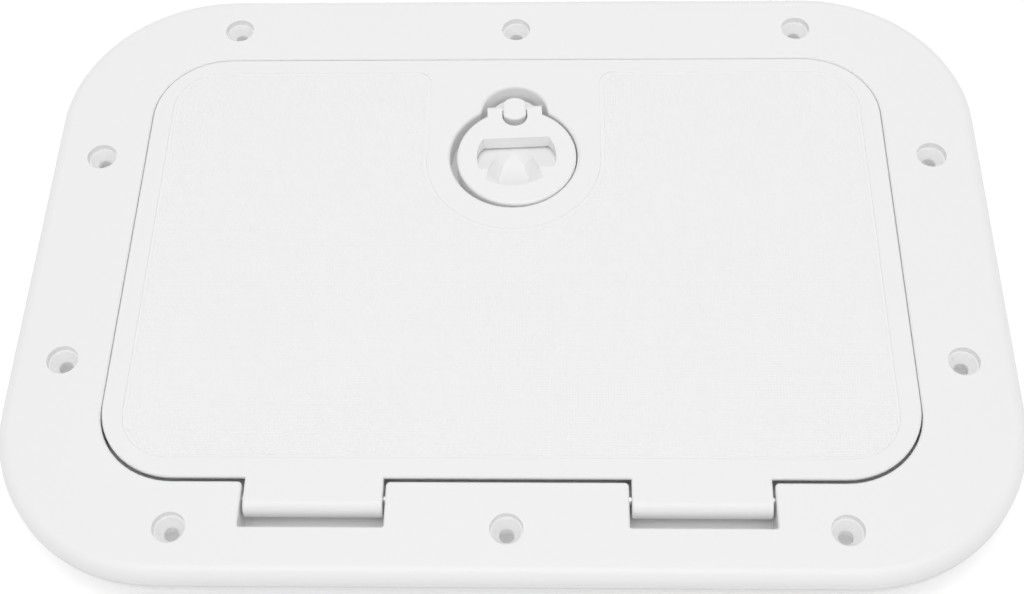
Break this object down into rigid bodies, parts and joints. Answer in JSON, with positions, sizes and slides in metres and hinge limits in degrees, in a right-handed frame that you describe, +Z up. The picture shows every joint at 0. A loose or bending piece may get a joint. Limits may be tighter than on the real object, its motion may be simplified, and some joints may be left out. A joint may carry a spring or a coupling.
{
  "type": "deck access hatch",
  "caption": "Rectangular moulded deck access hatch with a hinged non-slip lid and a flush lift-and-turn latch.",
  "frame": {"origin": "centre of the screw pattern on the deck surface, under the flange", "axes": "+X along the hinge line, +Y from the hinges to the latch, +Z up out of the deck"},
  "size_m": [0.375, 0.27, 0.0307],
  "materials": {
    "frame_plastic": "moulded white, fine satin gloss",
    "lid_plastic": "moulded white, fine satin gloss",
    "latch_plastic": "moulded white, fine satin gloss",
    "seal_rubber": "matt black rubber",
    "pin_steel": "ground stainless",
    "washer_steel": "stamped stainless",
    "cam_plastic": "black glass-filled plastic"
  },
  "bodies": {
    "frame": {"frame": "frame_plastic", "hinge_pin_left": "pin_steel", "hinge_pin_right": "pin_steel"},
    "lid": {"lid": "lid_plastic", "lid_seal": "seal_rubber"},
    "latch_spindle": {"latch_spindle": "latch_plastic", "handle_pin": "pin_steel", "spindle_seal": "seal_rubber", "thrust_washer": "washer_steel", "spring_washer": "washer_steel", "latch_cam": "cam_plastic", "cam_washer": "washer_steel", "cam_screw": "washer_steel"},
    "latch_handle": {"latch_handle": "latch_plastic"}
  },
  "joints": [
    {"name": "lid_open", "type": "hinge", "parent": "frame", "child": "lid", "pos_m": [0, -0.1025, 0.0043], "axis": [1, 0, 0], "range_deg": [0, 100]},
    {"name": "latch_turn", "type": "hinge", "parent": "lid", "child": "latch_spindle", "pos_m": [0, 0.0723, 0], "axis": [0, 0, 1], "range_deg": [-5.8, 0.3]},
    {"name": "handle_lift", "type": "hinge", "parent": "latch_spindle", "child": "latch_handle", "pos_m": [0, 0.0723, 0.0063], "axis": [-0.9989, -0.0471, 0], "range_deg": [0, 90]}
  ]
}
